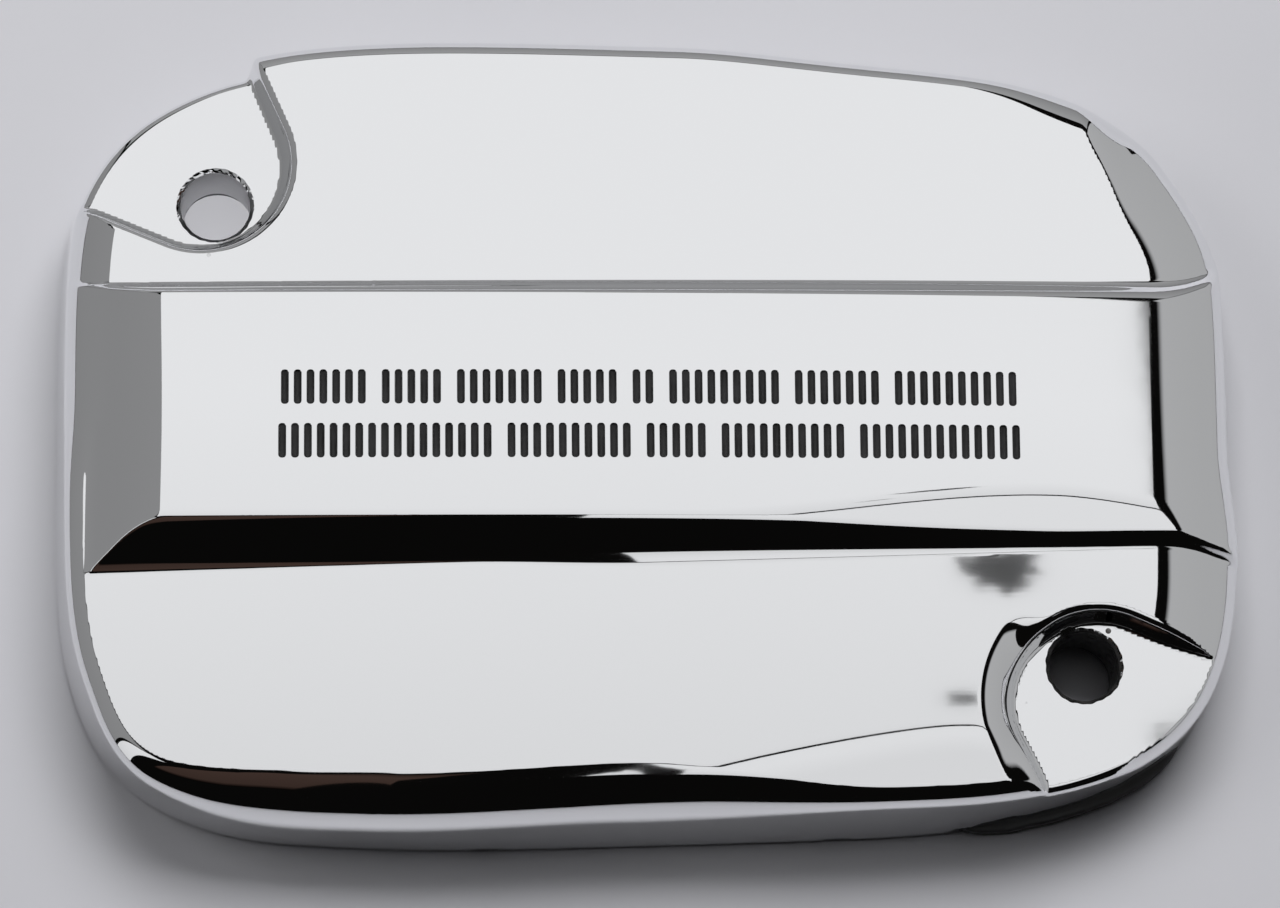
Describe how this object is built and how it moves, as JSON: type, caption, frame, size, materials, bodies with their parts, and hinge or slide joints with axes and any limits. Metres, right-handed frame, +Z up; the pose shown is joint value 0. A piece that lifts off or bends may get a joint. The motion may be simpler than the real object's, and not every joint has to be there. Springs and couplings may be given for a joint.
{
  "type": "brake fluid reservoir cover",
  "caption": "Chrome reservoir cover of a motorcycle brake master cylinder with raised band, sunk screw ears, engraved marks and a folded rubber diaphragm.",
  "frame": {"origin": "bottom centre: the middle of the outline, on the plane the diaphragm flange rests on", "axes": "+X along the cover's length, +Y to its rear long side, +Z up out of the reservoir"},
  "size_m": [0.092, 0.0634, 0.0136],
  "materials": {
    "chrome_casting": "bright decorative chrome over polished die casting, as-cast and dull underneath",
    "black_enamel": "black enamel fill, slightly uneven",
    "black_rubber": "moulded EPDM rubber, matte"
  },
  "bodies": {
    "diaphragm": {"diaphragm_flange": "black_rubber", "diaphragm_bellows": "black_rubber"},
    "cover": {"cover_shell": "chrome_casting", "mark_fill_upper_row": "black_enamel", "mark_fill_lower_row": "black_enamel"},
    "floor": {"diaphragm_floor": "black_rubber"}
  },
  "joints": [
    {"name": "cover_lift", "type": "slide", "parent": "diaphragm", "child": "cover", "axis": [0, 0, 1], "range_m": [0, 0.03]},
    {"name": "floor_travel", "type": "slide", "parent": "diaphragm", "child": "floor", "axis": [0, 0, 1], "range_m": [-0.003, 0.002], "stiffness_N_per_m": 60, "deforming": ["diaphragm_bellows"]}
  ]
}
